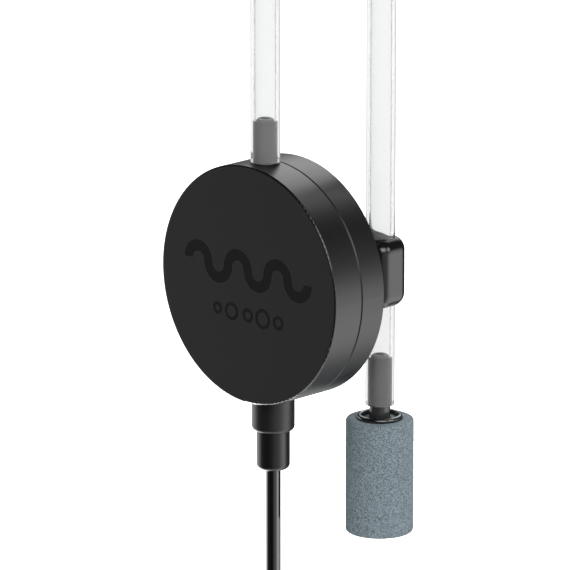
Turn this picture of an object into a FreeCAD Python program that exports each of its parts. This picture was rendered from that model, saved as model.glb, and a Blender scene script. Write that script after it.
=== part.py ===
import FreeCAD, Part
import math
import os

import Sketcher
from FreeCAD import Placement, Rotation, Vector

# Magnet-mounted aquarium air pump, in millimetres.
# The round piezo pump sits outside the tank and a holder inside it; magnets pull them
# together through the glass.  A clear hose joins them over the rim and ends in an air stone.
#
# Frame: the origin is the centre of the pump's back face, which lies on the glass.
# +X runs along the glass, +Y points into the tank and +Z is up.
# "Depth" is a distance from the glass towards the room, so a depth d is at Y = -d.

DIMENSIONS = {
    # pump housing
    "disc_radius": (24.55, "outside radius of the pump housing"),
    "disc_depth": (14.0, "thickness of the pump, pad included"),
    "wall": (1.5, "housing wall"),
    "pad_thickness": (0.5, "soft pad between pump and glass"),
    "pad_margin": (1.0, "width of the housing's rim around the pad"),
    "rear_clearance": (0.1, "how far the rear cover's rim stays off the glass"),
    "rear_round": (0.15, "edge round on the rear rim"),
    "rear_floor_depth": (1.5, "depth of the rear cover's inner floor"),
    "parting_depth": (6.4, "depth of the line where the two covers meet"),
    "parting_chamfer": (0.22, "chamfer on each side of the parting line"),
    "rim_round": (0.35, "edge round on the front rim"),
    "seal_radius": (23.45, "inside radius of the housing seal"),
    "seal_width": (0.6, "radial width of the housing seal"),
    "seal_height": (0.5, "height of the housing seal"),
    "foot_radius": (1.2, "radius of the three feet under the valve block"),
    "board_post_radius": (1.0, "radius of the three posts under the board"),
    "board_post_inset": (1.6, "distance of those posts' axes from the board's edge"),
    "fence_width": (1.1, "width of the fence around the pump's magnet"),
    "inlet_radius": (0.5, "radius of an air inlet in the rear cover's side"),
    "inlet_depth": (3.7, "depth of the air inlets"),
    "inlet_pitch": (2.0, "distance between the air inlets"),
    "filter_thickness": (1.2, "thickness of the felt behind the air inlets"),
    "filter_low_depth": (2.0, "depth of the felt's end near the glass"),
    "filter_high_depth": (5.4, "depth of the felt's other end"),
    # screws and bosses
    "boss_circle": (20.5, "radius of the circle the screws lie on"),
    "boss_radius": (2.8, "outside radius of a screw boss"),
    "screw_radius": (1.0, "radius of a screw shank"),
    "screw_tip_depth": (10.0, "depth of a screw's tip"),
    "head_radius": (1.9, "radius of a screw head"),
    "head_low_depth": (0.6, "depth of the outside of a screw head"),
    "head_seat_depth": (1.9, "depth of the seat under a screw head"),
    "drive_reach": (1.1, "half the length of a screw's cross slots"),
    "drive_half_width": (0.2, "half the width of a screw's cross slots"),
    "drive_depth": (0.5, "how deep a screw's cross slots are"),
    # magnets
    "magnet_length": (14.0, "length of both bar magnets"),
    "magnet_height": (10.0, "height of both bar magnets"),
    "magnet_thickness": (3.0, "thickness of both bar magnets"),
    "keeper_thickness": (0.8, "thickness of both steel keepers"),
    # electronics
    "board_radius": (17.2, "radius of the circuit board"),
    "board_rear_depth": (4.8, "depth of the board's component side"),
    "board_front_depth": (5.6, "depth of the board's plain side"),
    "board_window_gap": (0.5, "gap between the board's window and the magnet"),
    "inductor_x": (9.5, "X of the inductor's axis"),
    "inductor_z": (-10.5, "Z of the inductor's axis"),
    "inductor_radius": (2.8, "radius of the inductor's flanges"),
    "inductor_height": (2.8, "height of the inductor"),
    "inductor_flange": (0.5, "thickness of each inductor flange"),
    "inductor_hub": (1.4, "radius of the inductor's hub"),
    "winding_radius": (2.4, "outside radius of the inductor's winding"),
    "chip_half_length": (2.45, "half the driver chip's length"),
    "chip_half_width": (1.95, "half the driver chip's width"),
    "chip_height": (1.6, "height of the driver chip"),
    "chip_standoff": (0.1, "gap between the driver chip and the board"),
    "chip_z": (10.0, "Z of the driver chip's centre"),
    "lead_pitch": (1.27, "distance between the driver chip's leads"),
    "lead_half_width": (0.2, "half the width of a lead"),
    "lead_reach": (0.85, "how far a lead reaches beyond the chip"),
    "lead_height": (0.5, "height of a lead"),
    "capacitor_radius": (2.0, "radius of a capacitor"),
    "capacitor_height": (2.9, "height of a capacitor"),
    "capacitor_round": (0.3, "edge round on a capacitor's top"),
    "small_chip_half_length": (1.0, "half the length of a small board chip"),
    "small_chip_half_width": (0.6, "half the width of a small board chip"),
    "small_chip_height": (0.6, "height of a small board chip"),
    "stud_radius": (0.9, "radius of a contact spring's stud"),
    "stud_tip_radius": (0.5, "radius of a contact spring's tip"),
    "stud_tip_length": (0.15, "length of a contact spring's tip"),
    # air side
    "stack_radius": (17.4, "radius of the valve block and of the bender surround"),
    "block_rear_depth": (7.2, "depth of the valve block's chamber side"),
    "block_front_depth": (11.9, "depth of the valve block's front side"),
    "chamber_radius": (14.4, "radius of the shallow pump chamber"),
    "chamber_depth": (0.3, "how deep the pump chamber is"),
    "intake_seat_depth": (9.3, "depth of the seat of the intake flap"),
    "outlet_seat_depth": (8.6, "depth of the seat of the outlet flap"),
    "manifold_seat_depth": (11.1, "depth of the ledge under the manifold cover"),
    "port_radius": (1.0, "radius of the air ports and ducts"),
    "intake_half_width": (2.2, "half the width of the intake pocket"),
    "intake_low": (-9.2, "low end of the intake pocket"),
    "intake_high": (-3.2, "high end of the intake pocket"),
    "intake_port_z": (-7.3, "height of the intake port"),
    "outlet_half_width": (2.6, "half the width of the outlet pocket"),
    "outlet_low": (3.0, "low end of the outlet pocket"),
    "outlet_high": (10.4, "high end of the outlet pocket"),
    "outlet_port_z": (7.6, "height of the outlet port"),
    "cover_ledge": (1.0, "width of the ledge under the manifold cover"),
    "intake_flap_margin": (0.4, "gap between the intake flap and its pocket"),
    "outlet_flap_margin": (0.6, "gap between the outlet flap and its pocket"),
    "outlet_flap_top": (9.2, "upper end of the outlet flap"),
    "duct_low": (10.0, "height where the duct to the nozzle leaves the outlet pocket"),
    "spigot_radius": (1.75, "radius of the valve block's spigot"),
    "spigot_top": (17.8, "height of the spigot's end"),
    "flap_thickness": (0.3, "thickness of both valve flaps"),
    "bender_slot_gap": (0.3, "gap between the disc's edge and its slot in the surround"),
    "bender_radius": (16.0, "radius of the brass bender disc"),
    "ceramic_radius": (11.0, "radius of the piezo ceramic"),
    "bender_rear_depth": (6.5, "depth of the brass disc's ceramic side"),
    "bender_thickness": (0.2, "thickness of the brass and of the ceramic"),
    "bender_stroke": (0.2, "how far the bender moves each way"),
    # nozzle and hose
    "washer_thickness": (0.8, "thickness of the nozzle's washer"),
    "washer_radius": (2.4, "outside radius of the nozzle's washer"),
    "nozzle_depth": (9.0, "depth of the nozzle axis"),
    "nozzle_flange_radius": (2.6, "radius of the nozzle's flange"),
    "nozzle_flange_height": (1.2, "height of the nozzle's flange"),
    "tip_round": (0.7, "edge round on the tips of the nozzle and the nipple"),
    "nozzle_top": (33.6, "height of the nozzle's tip"),
    "hose_radius": (3.0, "outside radius of the hose"),
    "hose_bore": (2.0, "inside radius of the hose"),
    "hose_start": (24.8, "height of the hose's end on the pump"),
    "hose_bend_start": (62.0, "height where the hose starts to bend over the rim"),
    "hose_drop_x": (10.6, "X of the hose's run inside the tank"),
    "hose_drop_y": (13.3, "Y of the hose's run inside the tank"),
    "hose_end": (-28.0, "height of the hose's end on the stone"),
    "fit_gap": (0.02, "radial gap between pieces that plug together"),
    "slide_gap": (0.06, "radial gap between the hose and the holder"),
    # cable gland, cable and plug
    "cable_depth": (6.75, "depth of the cable axis"),
    "cable_radius": (1.5, "outside radius of the cable"),
    "core_radius": (0.5, "radius of one insulated wire"),
    "core_offset": (0.62, "distance of a wire from the cable axis"),
    "collar_radius": (4.35, "radius of the gland collar"),
    "collar_bottom": (-31.45, "height of the collar's lower end"),
    "neck_radius": (3.0, "radius of the strain relief in the housing wall"),
    "boot_radius": (3.375, "radius of the strain relief's boot"),
    "boot_bottom": (-39.6, "height of the boot's lower end"),
    "cable_top": (-20.6, "height of the jacket's end inside the pump"),
    "relief_flange_radius": (3.9, "radius of the strain relief's flange inside the wall"),
    "relief_flange_height": (1.2, "height of that flange"),
    "relief_flange_gap": (0.45, "gap between that flange and the housing wall"),
    "collar_top": (-22.0, "height of the collar's end before it is shaped to the housing"),
    "collar_round": (0.9, "edge round at the collar's lower end"),
    "boot_round": (1.0, "edge round at the boot's lower end"),
    "plug_top": (-64.0, "height of the plug's upper end"),
    "plug_bottom": (-92.0, "height of the plug's lower face"),
    "plug_radius": (4.7, "radius of the plug's grip"),
    "barrel_radius": (2.75, "radius of the plug's barrel"),
    "barrel_length": (9.5, "length of the plug's barrel"),
    "crimp_radius": (2.5, "radius of the barrel where the grip holds it"),
    "insulator_radius": (2.2, "outside radius of the plug's insulator"),
    "contact_radius": (1.35, "outside radius of the plug's inner contact"),
    "contact_bore": (1.05, "inside radius of the plug's inner contact"),
    "socket_length": (4.0, "how far the barrel reaches into the grip"),
    "relief_length": (10.0, "length of the plug's tapered strain relief"),
    "jacket_reach": (16.0, "how far the cable's jacket reaches into the plug"),
    "wire_reach": (23.0, "how far the wires reach into the plug"),
    "wire_rise": (5.6, "height the wires climb from the cable's end to the board"),
    "wire_bow": (1.6, "how far the wires bow out behind the board on the way"),
    "socket_bore": (1.7, "radius of the grip's hole for the soldered wires"),
    "grip_top_radius": (2.3, "radius of the plug's strain relief at the cable"),
    "grip_low_radius": (3.1, "radius of the plug's strain relief above the grip"),
    "grip_flare": (1.5, "height over which the strain relief widens into the grip"),
    "grip_top_round": (0.5, "edge round at the grip's top"),
    "grip_low_round": (0.8, "edge round at the grip's lower end"),
    # holder inside the tank
    "glass_thickness": (6.0, "glass between the pump and the holder at rest"),
    "holder_left": (-12.0, "X of the holder's plain end"),
    "holder_right": (15.05, "X of the holder's hose end"),
    "holder_near": (9.07, "Y of the holder's side towards the glass"),
    "holder_back": (17.49, "Y of the holder's back"),
    "holder_half_height": (7.4, "half the holder's height"),
    "holder_round": (2.93, "edge round on every edge of the holder"),
    "magnet_boss_near": (6.3, "Y of the glass side of the boss around the holder's magnet"),
    "magnet_boss_half_length": (9.8, "half the length of that boss"),
    "magnet_boss_half_height": (6.4, "half the height of that boss"),
    "magnet_boss_corner": (1.6, "radius of that boss's corners"),
    "holder_pad_ledge": (1.3, "how far the holder's pad reaches beyond each end of the magnet"),
    "holder_pad_back": (7.0, "Y of the back of the holder's pad"),
    # air stone
    "stone_radius": (7.0, "radius of the air stone"),
    "stone_top": (-31.0, "height of the stone's top"),
    "stone_bottom": (-54.8, "height of the stone's bottom"),
    "stone_round": (0.5, "edge round of the stone"),
    "nipple_top": (-17.6, "height of the nipple's tip inside the hose"),
    "nipple_neck": (2.125, "radius of the nipple's neck"),
    "stone_bore_depth": (8.0, "depth of the stone's hole for the nipple"),
    "end_gap": (0.2, "gap below the nipple in that hole"),
    "ring_radius": (4.65, "radius of the ring around the neck"),
    "ring_top": (-30.1, "height of the ring's top"),
    "ring_seat": (0.6, "how deep the ring sits in the stone"),
    "ring_band": (1.1, "width of the ring"),
    "ring_round": (0.52, "edge round on both sides of the ring's top"),
    # generic mark on the front face
    "mark_depth": (0.3, "how deep the mark is let into the front face"),
    "wave_radius": (2.8, "mean radius of one half wave"),
    "wave_width": (2.3, "line width of the wave"),
    "wave_height": (3.0, "height of the wave's centre line"),
    "bubble_height": (-6.2, "height of the row of bubbles"),
    "bubble_line": (0.7, "line width of the bubbles"),
}

SCREW_ANGLES = (45, 135, 225, 315)
POST_ANGLES = (0, 120, 240)
# degrees the intake felt spans around the housing
FILTER_SPREAD = 24
# X and radius of each bubble in the mark
BUBBLES = ((-8.6, 1.3), (-4.6, 1.9), (0.0, 1.5), (4.2, 2.1), (8.6, 1.5))
# X and Z of parts on the board
CAPACITOR_PLACES = ((-9.5, -10.0), (-4.4, -12.2))
SMALL_CHIP_PLACES = ((-8.0, 9.0), (-8.0, 11.0), (6.0, 9.0), (6.0, 11.0), (9.0, 9.0), (2.5, -14.5))
STUD_X = (9.2, 13.0)
# how far a cutting tool reaches past the face it opens
OVERCUT = 1.0
# how far a boss reaches into the wall that carries it
SINK = 0.2
# clearances between pieces that meet
THIN_GAP = 0.05
SEAT_GAP = 0.01
# lengths that differ by less than this are equal
TOLERANCE = 1e-4


class Size:
    """A length with both its value and the sheet expression that gives it."""

    def __init__(self, value, text):
        self.value = value
        self.text = text

    @staticmethod
    def of(number):
        if isinstance(number, Size):
            return number
        return Size(float(number), f"({float(number)})")

    def combine(self, other, sign, value):
        return Size(value, f"({self.text} {sign} {other.text})")

    def __add__(self, other):
        other = Size.of(other)
        return self.combine(other, "+", self.value + other.value)

    def __sub__(self, other):
        other = Size.of(other)
        return self.combine(other, "-", self.value - other.value)

    def __mul__(self, factor):
        factor = Size.of(factor)
        return self.combine(factor, "*", self.value * factor.value)

    def __radd__(self, other):
        return Size.of(other) + self

    def __rsub__(self, other):
        return Size.of(other) - self

    def __rmul__(self, factor):
        return Size.of(factor) * self

    def __neg__(self):
        return Size(-self.value, f"(-{self.text})")


class Sheet:
    """The driving dimensions, read as attributes such as sheet.disc_radius."""

    def __init__(self, doc, dimensions):
        self.cells = doc.addObject("Spreadsheet::Sheet", "dims")
        for row, (alias, (value, meaning)) in enumerate(dimensions.items(), start=1):
            self.cells.set(f"A{row}", meaning)
            self.cells.set(f"B{row}", str(value))
            self.cells.setAlias(f"B{row}", alias)
        doc.recompute()

    def __getattr__(self, alias):
        return Size(float(self.cells.get(alias)), f"dims.{alias}")


DOC = FreeCAD.newDocument("air_pump")
SIZES = Sheet(DOC, DIMENSIONS)


# ---------------------------------------------------------------- modelling helpers


def bind(item, prop, size):
    item.setExpression(prop, Size.of(size).text)


def place(item, x=0, y=0, z=0):
    for axis, size in zip("xyz", (x, y, z)):
        bind(item, f"Placement.Base.{axis}", size)


def new_body(label, x=0, y=0, z=0):
    body = DOC.addObject("PartDesign::Body", label)
    body.Label = label
    place(body, x, y, z)
    return body


def new_sketch(body, plane, offset):
    """An empty sketch on one of the body's origin planes, moved along its normal."""
    sketch = body.newObject("Sketcher::SketchObject", f"{body.Name}_sketch")
    support = next(item for item in body.Origin.OriginFeatures if item.Role == plane)
    sketch.AttachmentSupport = (support, "")
    sketch.MapMode = "FlatFace"
    bind(sketch, "AttachmentOffset.Base.z", offset)
    return sketch


def fix_point(sketch, geometry, point, x, y):
    for kind, size in (("DistanceX", x), ("DistanceY", y)):
        size = Size.of(size)
        index = sketch.addConstraint(Sketcher.Constraint(kind, -1, 1, geometry, point, size.value))
        bind(sketch, f"Constraints[{index}]", size)


def add_polygon(sketch, corners):
    """A closed straight-sided outline with every corner bound to the sheet."""
    points = [Vector(Size.of(x).value, Size.of(y).value, 0) for x, y in corners]
    first = sketch.GeometryCount
    count = len(points)
    for i in range(count):
        sketch.addGeometry(Part.LineSegment(points[i], points[(i + 1) % count]))
    for i in range(count):
        after = first + (i + 1) % count
        sketch.addConstraint(Sketcher.Constraint("Coincident", first + i, 2, after, 1))
    for i, (x, y) in enumerate(corners):
        fix_point(sketch, first + i, 1, x, y)


def add_rectangle(sketch, left, right, low, high):
    add_polygon(sketch, [(left, low), (right, low), (right, high), (left, high)])


def add_circle(sketch, x, y, radius):
    x, y, radius = Size.of(x), Size.of(y), Size.of(radius)
    circle = Part.Circle(Vector(x.value, y.value, 0), Vector(0, 0, 1), radius.value)
    geometry = sketch.addGeometry(circle)
    fix_point(sketch, geometry, 3, x, y)
    index = sketch.addConstraint(Sketcher.Constraint("Radius", geometry, radius.value))
    bind(sketch, f"Constraints[{index}]", radius)


def add_ring_of_circles(sketch, circle_radius, angles, radius):
    for angle in angles:
        turn = math.radians(angle)
        add_circle(sketch, circle_radius * math.cos(turn), circle_radius * math.sin(turn), radius)


def pad(body, sketch, length):
    """Material from the sketch along its normal."""
    feature = body.newObject("PartDesign::Pad", f"{body.Name}_pad")
    feature.Profile = sketch
    bind(feature, "Length", length)
    DOC.recompute()
    return feature


def pocket(body, sketch, length):
    """A cut from the sketch along its normal."""
    volume_before = body.Shape.Volume
    feature = body.newObject("PartDesign::Pocket", f"{body.Name}_pocket")
    feature.Profile = sketch
    feature.Reversed = True
    bind(feature, "Length", length)
    DOC.recompute()
    check_cut(body, volume_before)
    return feature


def check_cut(body, volume_before):
    if body.Shape.Volume > volume_before - TOLERANCE:
        raise RuntimeError(f"a cut in {body.Label} removed nothing")


def turn(body, plane, corners, angle=360):
    """A solid turned about the plane's own upright axis from (radius, position) corners."""
    sketch = new_sketch(body, plane, 0)
    add_polygon(sketch, corners)
    feature = body.newObject("PartDesign::Revolution", f"{body.Name}_turn")
    feature.Profile = sketch
    feature.ReferenceAxis = (sketch, ["V_Axis"])
    feature.Angle = angle
    DOC.recompute()
    return feature


def groove(body, plane, corners):
    """A turned cut about the plane's own upright axis."""
    volume_before = body.Shape.Volume
    sketch = new_sketch(body, plane, 0)
    add_polygon(sketch, corners)
    feature = body.newObject("PartDesign::Groove", f"{body.Name}_groove")
    feature.Profile = sketch
    feature.ReferenceAxis = (sketch, ["V_Axis"])
    feature.Angle = 360
    DOC.recompute()
    check_cut(body, volume_before)


def dress_edges(body, kind, size, wanted):
    """Rounds (kind Fillet) or bevels (kind Chamfer) the edges that wanted picks."""
    base = body.Tip
    names = [f"Edge{i}" for i, edge in enumerate(base.Shape.Edges, 1) if wanted(edge)]
    feature = body.newObject(f"PartDesign::{kind}", f"{body.Name}_{kind.lower()}")
    feature.Base = (base, names)
    bind(feature, "Radius" if kind == "Fillet" else "Size", size)
    DOC.recompute()


def circle_at(radius, axis, position):
    """A test for circular edges of a radius at a position along an axis (0 X, 1 Y, 2 Z)."""
    radius, position = Size.of(radius), Size.of(position)

    def wanted(edge):
        if not isinstance(edge.Curve, Part.Circle):
            return False
        same_radius = abs(edge.Curve.Radius - radius.value) < TOLERANCE
        return same_radius and abs(edge.Curve.Center[axis] - position.value) < TOLERANCE

    return wanted


def box(name, left, right, near, far, low, high):
    """A block between two X, two depths (near is the smaller) and two Z."""
    item = DOC.addObject("Part::Box", name)
    bind(item, "Length", right - Size.of(left))
    bind(item, "Width", far - Size.of(near))
    bind(item, "Height", high - Size.of(low))
    place(item, left, -Size.of(far), low)
    return item


def disc(name, radius, near, far):
    """A round plate about the pump's axis between two depths."""
    item = DOC.addObject("Part::Cylinder", name)
    bind(item, "Radius", radius)
    bind(item, "Height", far - Size.of(near))
    item.Placement = Placement(Vector(), Rotation(Vector(1, 0, 0), 90))
    place(item, 0, -Size.of(near), 0)
    return item


def cut(label, base, tool):
    item = DOC.addObject("Part::Cut", label)
    item.Base = base
    item.Tool = tool
    return item


def group(label, solids):
    """Several separate solids that share one node."""
    item = DOC.addObject("Part::Feature", label)
    item.Shape = Part.makeCompound(solids)
    return item


def post(x, z, radius, near, far):
    """A plain cylinder parallel to the pump's axis, as a shape."""
    return Part.makeCylinder(radius, far - near, Vector(x, -near, z), Vector(0, -1, 0))


def block(left, right, near, far, low, high):
    """A plain block between depths near and far, as a shape."""
    return Part.makeBox(right - left, far - near, high - low, Vector(left, -far, low))


# ---------------------------------------------------------------- pump housing


def cut_gland_hole(body):
    """The round opening for the strain relief's neck, through the bottom of the wall."""
    sketch = new_sketch(body, "XY_Plane", -SIZES.disc_radius - OVERCUT)
    add_circle(sketch, 0, -SIZES.cable_depth, SIZES.neck_radius + SIZES.fit_gap)
    pocket(body, sketch, SIZES.wall * 2 + OVERCUT)


def front_cover(mark):
    s = SIZES
    shell = new_body("front_shell")
    inner_radius = s.disc_radius - s.wall
    inner_face = s.disc_depth - s.wall
    turn(shell, "XY_Plane", [
        (0, -s.disc_depth), (s.disc_radius, -s.disc_depth), (s.disc_radius, -s.parting_depth),
        (inner_radius, -s.parting_depth), (inner_radius, -inner_face), (0, -inner_face)])
    dress_edges(shell, "Fillet", s.rim_round, circle_at(s.disc_radius, 1, -s.disc_depth))
    dress_edges(shell, "Chamfer", s.parting_chamfer, circle_at(s.disc_radius, 1, -s.parting_depth))

    bosses = new_sketch(shell, "XZ_Plane", s.parting_depth)
    add_ring_of_circles(bosses, s.boss_circle, SCREW_ANGLES, s.boss_radius)
    pad(shell, bosses, inner_face - s.parting_depth + SINK)
    pilots = new_sketch(shell, "XZ_Plane", s.parting_depth)
    add_ring_of_circles(pilots, s.boss_circle, SCREW_ANGLES, s.screw_radius)
    pocket(shell, pilots, s.screw_tip_depth - s.parting_depth + SINK)

    # three feet hold the valve block off the front face
    feet = new_sketch(shell, "XZ_Plane", s.block_front_depth)
    add_ring_of_circles(feet, s.chamber_radius, POST_ANGLES, s.foot_radius)
    pad(shell, feet, inner_face - s.block_front_depth + SINK)

    nozzle_hole = new_sketch(shell, "XY_Plane", inner_radius - OVERCUT)
    add_circle(nozzle_hole, 0, -s.nozzle_depth, s.hose_bore + SINK)
    pocket(shell, nozzle_hole, s.wall + OVERCUT * 2)
    cut_gland_hole(shell)
    return cut("front_cover", shell, mark)


def rear_cover():
    s = SIZES
    body = new_body("rear_cover")
    inner_radius = s.disc_radius - s.wall
    floor_depth = s.rear_floor_depth
    turn(body, "XY_Plane", [
        (0, -s.pad_thickness), (s.disc_radius - s.pad_margin, -s.pad_thickness),
        (s.disc_radius - s.pad_margin, -s.rear_clearance), (s.disc_radius, -s.rear_clearance),
        (s.disc_radius, -s.parting_depth), (inner_radius, -s.parting_depth),
        (inner_radius, -floor_depth), (0, -floor_depth)])
    dress_edges(body, "Fillet", s.rear_round, circle_at(s.disc_radius, 1, -s.rear_clearance))
    dress_edges(body, "Chamfer", s.parting_chamfer, circle_at(s.disc_radius, 1, -s.parting_depth))

    bosses = new_sketch(body, "XZ_Plane", floor_depth - SINK)
    add_ring_of_circles(bosses, s.boss_circle, SCREW_ANGLES, s.boss_radius)
    pad(body, bosses, s.parting_depth - floor_depth + SINK)
    clearance = new_sketch(body, "XZ_Plane", 0)
    add_ring_of_circles(clearance, s.boss_circle, SCREW_ANGLES, s.screw_radius + THIN_GAP * 2)
    pocket(body, clearance, s.parting_depth + OVERCUT)
    head_recess = new_sketch(body, "XZ_Plane", 0)
    add_ring_of_circles(head_recess, s.boss_circle, SCREW_ANGLES, s.head_radius + THIN_GAP * 2)
    pocket(body, head_recess, s.head_seat_depth)

    # a low fence around the magnet, and three posts under the board
    fence = new_sketch(body, "XZ_Plane", floor_depth - SINK)
    half_length = s.magnet_length * 0.5 + s.fit_gap
    half_height = s.magnet_height * 0.5 + s.fit_gap
    add_rectangle(fence, -half_length, half_length, -half_height, half_height)
    fence_length, fence_height = half_length + s.fence_width, half_height + s.fence_width
    add_rectangle(fence, -fence_length, fence_length, -fence_height, fence_height)
    pad(body, fence, s.magnet_thickness * 0.75)
    posts = new_sketch(body, "XZ_Plane", floor_depth - SINK)
    add_ring_of_circles(posts, s.board_radius - s.board_post_inset, POST_ANGLES, s.board_post_radius)
    pad(body, posts, s.board_rear_depth - floor_depth + SINK)

    groove(body, "XY_Plane", seal_section())
    cut_gland_hole(body)
    inlets = new_sketch(body, "YZ_Plane", -s.disc_radius - OVERCUT)
    for step in (-1, 0, 1):
        add_circle(inlets, -s.inlet_depth, s.inlet_pitch * step, s.inlet_radius)
    pocket(body, inlets, s.wall + OVERCUT * 2)
    return body


def seal_section():
    s = SIZES
    inner, outer = s.seal_radius, s.seal_radius + s.seal_width
    return [
        (inner, -s.parting_depth), (outer, -s.parting_depth),
        (outer, s.seal_height - s.parting_depth), (inner, s.seal_height - s.parting_depth)]


def housing_seal():
    body = new_body("housing_seal")
    turn(body, "XY_Plane", seal_section())
    cut_gland_hole(body)
    return body


def glass_pad():
    radius = SIZES.disc_radius - SIZES.pad_margin - THIN_GAP
    return disc("glass_pad", radius, 0, SIZES.pad_thickness)


def cover_screws():
    s = SIZES
    reach, half_width = s.drive_reach.value, s.drive_half_width.value
    slot_bottom = (s.head_low_depth + s.drive_depth).value
    solids = []
    for angle in SCREW_ANGLES:
        x = s.boss_circle.value * math.cos(math.radians(angle))
        z = s.boss_circle.value * math.sin(math.radians(angle))
        head = post(x, z, s.head_radius.value, s.head_low_depth.value, s.head_seat_depth.value)
        shank = post(x, z, s.screw_radius.value, s.head_seat_depth.value, s.screw_tip_depth.value)
        slot = block(x - reach, x + reach, 0, slot_bottom, z - half_width, z + half_width)
        cross = block(x - half_width, x + half_width, 0, slot_bottom, z - reach, z + reach)
        solids.append(head.fuse(shank).cut(slot).cut(cross).removeSplitter())
    return group("cover_screws", solids)


def face_mark():
    """A generic mark: one line of waves over one line of bubbles."""
    s = SIZES
    near = (s.disc_depth - s.mark_depth).value
    far = s.disc_depth.value
    radius = s.wave_radius.value
    half_line = s.wave_width.value / 2
    height = s.wave_height.value
    wave = None
    for i in range(6):
        x = (2 * i - 5) * radius
        ring = post(x, height, radius + half_line, near, far)
        ring = ring.cut(post(x, height, radius - half_line, near, far))
        low = height if i % 2 == 0 else height - 2 * radius
        ring = ring.common(block(x - 2 * radius, x + 2 * radius, near, far, low, low + 2 * radius))
        wave = ring if wave is None else wave.fuse(ring)
    bubbles = []
    for x, bubble_radius in BUBBLES:
        bubble = post(x, s.bubble_height.value, bubble_radius, near, far)
        hole = post(x, s.bubble_height.value, bubble_radius - s.bubble_line.value, near, far)
        bubbles.append(bubble.cut(hole))
    return group("face_mark", [wave.removeSplitter()] + bubbles)


# ---------------------------------------------------------------- magnets and electronics


def bar_magnet(label, near, far):
    """A bar magnet or its keeper, centred on the pump's axis between two depths."""
    half_length = SIZES.magnet_length * 0.5
    half_height = SIZES.magnet_height * 0.5
    return box(label, -half_length, half_length, near, far, -half_height, half_height)


def pump_magnet():
    top = SIZES.rear_floor_depth + SIZES.magnet_thickness
    return bar_magnet("pump_magnet", SIZES.rear_floor_depth, top)


def magnet_keeper():
    top = SIZES.rear_floor_depth + SIZES.magnet_thickness
    return bar_magnet("magnet_keeper", top, top + SIZES.keeper_thickness)


def circuit_board():
    s = SIZES
    blank = disc("board_blank", s.board_radius, s.board_rear_depth, s.board_front_depth)
    half_length = s.magnet_length * 0.5 + s.board_window_gap
    half_height = s.magnet_height * 0.5 + s.board_window_gap
    window = box("board_window", -half_length, half_length, s.board_rear_depth - OVERCUT,
                 s.board_front_depth + OVERCUT, -half_height, half_height)
    return cut("circuit_board", blank, window)


def inductor_core():
    s = SIZES
    body = new_body("inductor_core", s.inductor_x, -s.board_rear_depth, s.inductor_z)
    radius, hub, height = s.inductor_radius, s.inductor_hub, s.inductor_height
    low_flange, high_flange = s.inductor_flange, height - s.inductor_flange
    turn(body, "XY_Plane", [
        (0, 0), (radius, 0), (radius, low_flange), (hub, low_flange),
        (hub, high_flange), (radius, high_flange), (radius, height), (0, height)])
    return body


def inductor_winding():
    s = SIZES
    body = new_body("inductor_winding", s.inductor_x, -s.board_rear_depth, s.inductor_z)
    hub, radius = s.inductor_hub, s.winding_radius
    low, high = s.inductor_flange, s.inductor_height - s.inductor_flange
    turn(body, "XY_Plane", [(hub, low), (radius, low), (radius, high), (hub, high)])
    return body


def driver_chip():
    s = SIZES
    depth = s.board_rear_depth
    return box("driver_chip", -s.chip_half_length, s.chip_half_length, depth - s.chip_height,
               depth - s.chip_standoff, s.chip_z - s.chip_half_width, s.chip_z + s.chip_half_width)


def chip_leads():
    s = SIZES
    far = s.board_rear_depth.value
    near = far - s.lead_height.value
    half = s.lead_half_width.value
    top, bottom = (s.chip_z + s.chip_half_width).value, (s.chip_z - s.chip_half_width).value
    reach = s.lead_reach.value
    solids = []
    for i in range(4):
        x = (i - 1.5) * s.lead_pitch.value
        solids.append(block(x - half, x + half, near, far, top, top + reach))
        solids.append(block(x - half, x + half, near, far, bottom - reach, bottom))
    return group("chip_leads", solids)


def board_capacitors():
    s = SIZES
    far = s.board_rear_depth.value
    near = far - s.capacitor_height.value
    solids = []
    for x, z in CAPACITOR_PLACES:
        can = post(x, z, s.capacitor_radius.value, near, far)
        top = [edge for edge in can.Edges if abs(edge.BoundBox.YMin + near) < TOLERANCE]
        solids.append(can.makeFillet(s.capacitor_round.value, top))
    return group("board_capacitors", solids)


def board_chips():
    """Small surface-mounted resistors and diodes in a row beside the driver chip."""
    s = SIZES
    far = s.board_rear_depth.value
    near = far - s.small_chip_height.value
    half_length, half_width = s.small_chip_half_length.value, s.small_chip_half_width.value
    solids = []
    for x, z in SMALL_CHIP_PLACES:
        solids.append(block(x - half_length, x + half_length, near, far, z - half_width, z + half_width))
    return group("board_chips", solids)


def contact_springs():
    """Two sprung studs that touch the bender's ceramic and its brass."""
    s = SIZES
    near = s.board_front_depth.value
    brass_face = s.bender_rear_depth - s.bender_stroke - THIN_GAP
    ceramic_face = brass_face - s.bender_thickness
    solids = []
    for x, face in zip(STUD_X, (ceramic_face, brass_face)):
        far = face.value
        shoulder = far - s.stud_tip_length.value
        stud = post(x, 0, s.stud_radius.value, near, shoulder)
        tip = post(x, 0, s.stud_tip_radius.value, shoulder, far)
        solids.append(stud.fuse(tip).removeSplitter())
    return group("contact_springs", solids)


# ---------------------------------------------------------------- bender, block and valves


def bender_disc():
    s = SIZES
    far = s.bender_rear_depth + s.bender_thickness
    return disc("bender_disc", s.bender_radius, s.bender_rear_depth, far)


def piezo_ceramic():
    s = SIZES
    near = s.bender_rear_depth - s.bender_thickness
    return disc("piezo_ceramic", s.ceramic_radius, near, s.bender_rear_depth)


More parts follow.
